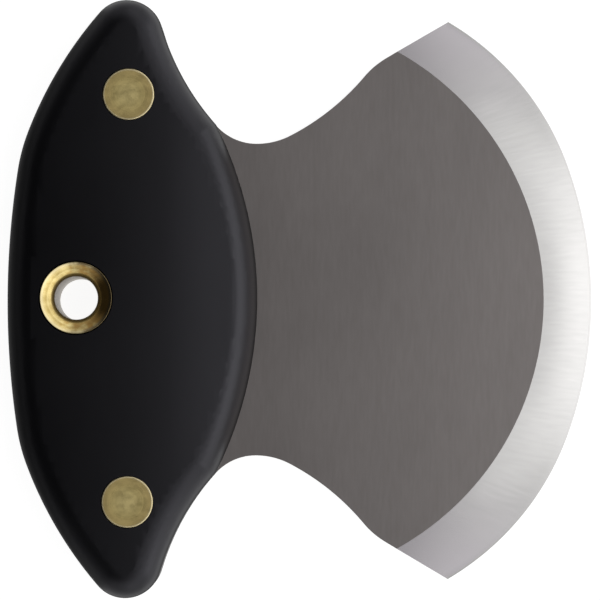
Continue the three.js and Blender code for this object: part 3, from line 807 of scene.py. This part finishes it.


# Tube brass. Its flare is painted brown as shade on the edge's side, which faces away from the light, and
# its rim painted bright as a highlight on the spine's side and dark as shade on the other; the bore is
# grey and the throat painted dark as shade.
def tube_brass():
    material, tree, shader = new_finish("tube_brass", 1.0)
    place = object_coordinates(tree)
    from_axis = distance_from_axis(tree)
    blotches = noise(tree, place, (560, 700, 300), 4.0, 0.65)
    tone = spread(tree, mix_values(tree, blotches, lathe_rings(tree, from_axis), 0.7), 0.38, 0.62, 0, 1)
    brass = blend_colours(tree, tone, (0.4, 0.3, 0.105), (0.58, 0.468, 0.208))
    parts = tree.nodes.new("ShaderNodeSeparateXYZ")
    tree.links.new(own_map(tree, "axis"), parts.inputs["Vector"])
    uneven = spread(tree, blotches, 0.35, 0.65, 0.45 * FLARE_R, -0.45 * FLARE_R)
    across = combine(tree, "ADD", parts.outputs["X"], uneven)
    # Painted shade: brown on the flare's side towards the edge, which faces away from the light, with an
    # uneven border.
    edge_side_shade = spread(tree, across, -0.5 * FLARE_R, 0.65 * FLARE_R, 0, 1, True)
    shade_painted_brass = blend_colours(tree, edge_side_shade, brass, (0.355, 0.215, 0.066))
    at_rim = spread(tree, from_axis, 0.88 * FLARE_R, 0.95 * FLARE_R, 0, 0.9, True)
    # Painted highlight on the rim on the spine's side, and painted shade on it on the edge's side.
    rim = blend_colours(tree, edge_side_shade, (0.63, 0.535, 0.3), (0.2, 0.155, 0.085))
    flare = blend_colours(tree, at_rim, shade_painted_brass, rim)
    # Grey in the bore, and painted shade in dark brown at the throat, where the flare turns down into it.
    throat = spread(tree, from_axis, BORE_R, BORE_R + 0.15 * MM, 0, 1, True)
    dulled_and_shaded = blend_colours(tree, throat, (0.48, 0.45, 0.4), (0.19, 0.135, 0.045))
    flared = spread(tree, from_axis, BORE_R + 0.4 * MM, BORE_R + 1.0 * MM, 0, 1, True)
    tree.links.new(blend_colours(tree, flared, dulled_and_shaded, flare), shader.inputs["Base Color"])
    scuffs = spread(tree, blotches, 0.3, 0.7, 0.2, 0.12)
    dullness = spread(tree, flared, 0, 1, 0.35, 0)
    tree.links.new(combine(tree, "ADD", scuffs, dullness), shader.inputs["Roughness"])
    add_bump(tree, shader, tone, 0.02 * MM, 0.25)
    return material


# Stage: a white floor and soft light from the side of the cutting edge

FLOOR_SIZE = 4.0
FLOOR_GLOW = 0.92
FLOOR_WHITE = 0.25
SPINE_SIDE_LEVEL = 0.013
EDGE_SIDE_LEVEL = 0.936
LIGHT_STARTS = -0.046
LIGHT_FULL = 0.26
HORIZON_LEVEL = 1.75
HORIZON_STARTS = 0.72
HORIZON_FULL = 1.0
UPPER_CORNER_LEVEL = 0.6
LOWER_CORNER_LEVEL = 0.95
CORNER_BEARING = math.radians(24)
CORNER_HEIGHT = math.radians(38)
CORNER_CORE = math.cos(math.radians(8))
CORNER_REACH = math.cos(math.radians(25))
UPPER_END_LEVEL = 0.8
LOWER_END_LEVEL = 1.1
ENDS_START = 0.33
ENDS_FULL = 0.95
GREY_WALL_LEVEL = 0.5
GREY_WALL_SHARE = 0.4
GREY_WALL_FULL = 0.22
GREY_WALL_ENDS = 0.32
BACK_GLOW_LEVEL = 0.03
BACK_GLOW_STARTS = 0.3
BACK_GLOW_FULL = 0.9
SOFTBOX_LEVEL = 1.18
SOFTBOX_LEAN = math.radians(16.7)
SOFTBOX_BEARING = math.radians(5)
SOFTBOX_CORE = math.cos(math.radians(5.5))
SOFTBOX_REACH = math.cos(math.radians(10.8))
SOFTBOX_WAY = (*polar(math.sin(SOFTBOX_LEAN), SOFTBOX_BEARING), math.cos(SOFTBOX_LEAN))
UPPER_CORNER_WAY = (*polar(math.cos(CORNER_HEIGHT), CORNER_BEARING), math.sin(CORNER_HEIGHT))
LOWER_CORNER_WAY = (*polar(math.cos(CORNER_HEIGHT), -CORNER_BEARING), math.sin(CORNER_HEIGHT))


# One where a ray comes from the camera, a mirror-like surface or clear glass, and nought elsewhere.
def seen_directly(tree):
    path = tree.nodes.new("ShaderNodeLightPath")
    seen = combine(tree, "ADD", path.outputs["Is Camera Ray"], path.outputs["Is Glossy Ray"])
    return combine(tree, "ADD", seen, path.outputs["Is Transmission Ray"])


def white_floor():
    mesh = bmesh.new()
    bmesh.ops.create_grid(mesh, x_segments=1, y_segments=1, size=FLOOR_SIZE)
    data = bpy.data.meshes.new("white_floor")
    mesh.to_mesh(data)
    mesh.free()
    material = bpy.data.materials.new("white_floor")
    material.use_nodes = True
    tree = material.node_tree
    tree.nodes.clear()
    matt = tree.nodes.new("ShaderNodeBsdfDiffuse")
    matt.inputs["Color"].default_value = (FLOOR_WHITE, FLOOR_WHITE, FLOOR_WHITE, 1)
    glow = tree.nodes.new("ShaderNodeEmission")
    both = tree.nodes.new("ShaderNodeAddShader")
    output = tree.nodes.new("ShaderNodeOutputMaterial")
    tree.links.new(combine(tree, "MULTIPLY", seen_directly(tree), FLOOR_GLOW), glow.inputs["Strength"])
    tree.links.new(matt.outputs["BSDF"], both.inputs[0])
    tree.links.new(glow.outputs["Emission"], both.inputs[1])
    tree.links.new(both.outputs["Shader"], output.inputs["Surface"])
    data.materials.append(material)
    floor = bpy.data.objects.new("white_floor", data)
    bpy.context.scene.collection.objects.link(floor)


# How nearly a direction of the sky agrees with the way given: one where it does, nought at right angles.
def facing(tree, direction, way):
    node = tree.nodes.new("ShaderNodeVectorMath")
    node.operation = "DOT_PRODUCT"
    node.inputs[1].default_value = way
    tree.links.new(direction, node.inputs[0])
    return node.outputs["Value"]


# A sky that is dark on the spine's side and bright on the side of the cutting edge, with a softbox there.
# A thin veil of even grey lies over it low down, as grey walls round the table would give, and the camera
# sees it white.
def soft_light():
    world = bpy.data.worlds.new("soft_light")
    world.use_nodes = True
    tree = world.node_tree
    sky = tree.nodes["Background"]
    sky.inputs["Color"].default_value = (1, 1, 1, 1)
    direction = tree.nodes.new("ShaderNodeTexCoord").outputs["Generated"]
    lights = (
        ((1, 0, 0), LIGHT_STARTS, LIGHT_FULL, EDGE_SIDE_LEVEL),
        (SOFTBOX_WAY, SOFTBOX_REACH, SOFTBOX_CORE, SOFTBOX_LEVEL),
        ((1, 0, 0), HORIZON_STARTS, HORIZON_FULL, HORIZON_LEVEL),
        (UPPER_CORNER_WAY, CORNER_REACH, CORNER_CORE, UPPER_CORNER_LEVEL),
        (LOWER_CORNER_WAY, CORNER_REACH, CORNER_CORE, LOWER_CORNER_LEVEL),
        ((0, 1, 0), ENDS_START, ENDS_FULL, UPPER_END_LEVEL),
        ((0, -1, 0), ENDS_START, ENDS_FULL, LOWER_END_LEVEL),
        ((-1, 0, 0), BACK_GLOW_STARTS, BACK_GLOW_FULL, BACK_GLOW_LEVEL))
    level = SPINE_SIDE_LEVEL
    for way, starts, full, brightness in lights:
        light = spread(tree, facing(tree, direction, way), starts, full, 0, brightness, True)
        level = combine(tree, "ADD", level, light)
    height = facing(tree, direction, (0, 0, 1))
    low_down = spread(tree, height, GREY_WALL_FULL, GREY_WALL_ENDS, GREY_WALL_SHARE, 0, True)
    level = fade_to(tree, low_down, level, GREY_WALL_LEVEL)
    path = tree.nodes.new("ShaderNodeLightPath")
    strength = fade_to(tree, path.outputs["Is Camera Ray"], level, 1)
    tree.links.new(strength, sky.inputs["Strength"])
    bpy.context.scene.world = world


CAMERA_DISTANCE = 700 * MM
CAMERA_SETBACK = 18.7 * MM
FRAME_WIDTH = 112.2 * MM
CAMERA_AIM = Vector((-0.02 * MM, -0.05 * MM))
CAMERA_ROLL = math.radians(0.12)


# Looks straight down on the front face, from a little below the middle of the handle.
def overhead_camera():
    data = bpy.data.cameras.new("overhead_camera")
    data.sensor_width = 36
    data.lens = data.sensor_width * CAMERA_DISTANCE / FRAME_WIDTH
    data.clip_end = 20
    camera = bpy.data.objects.new("overhead_camera", data)
    camera.location = (CAMERA_AIM.x, CAMERA_AIM.y - CAMERA_SETBACK, MIDDLE_Z + CAMERA_DISTANCE)
    camera.rotation_euler = (math.atan2(CAMERA_SETBACK, CAMERA_DISTANCE), 0, CAMERA_ROLL)
    bpy.context.scene.collection.objects.link(camera)
    bpy.context.scene.camera = camera


overhead_camera()
white_floor()
soft_light()
ground_blade([plate_steel(), wheel_ground_steel(), honed_steel()])
scale_black = black_plastic()
handle_scale("front_grip", scale_black, "front_scale", False)
handle_scale("rear_grip", scale_black, "rear_scale", True)
head_brass = rivet_brass()
for side in RIVET_CENTRES:
    rivet_half(side + "_rivet_pin", side + "_rivet_male", head_brass, False)
    rivet_half(side + "_rivet_sleeve", side + "_rivet_female", head_brass, True)
flared_tube(tube_brass())

bpy.context.scene.view_settings.view_transform = "Standard"
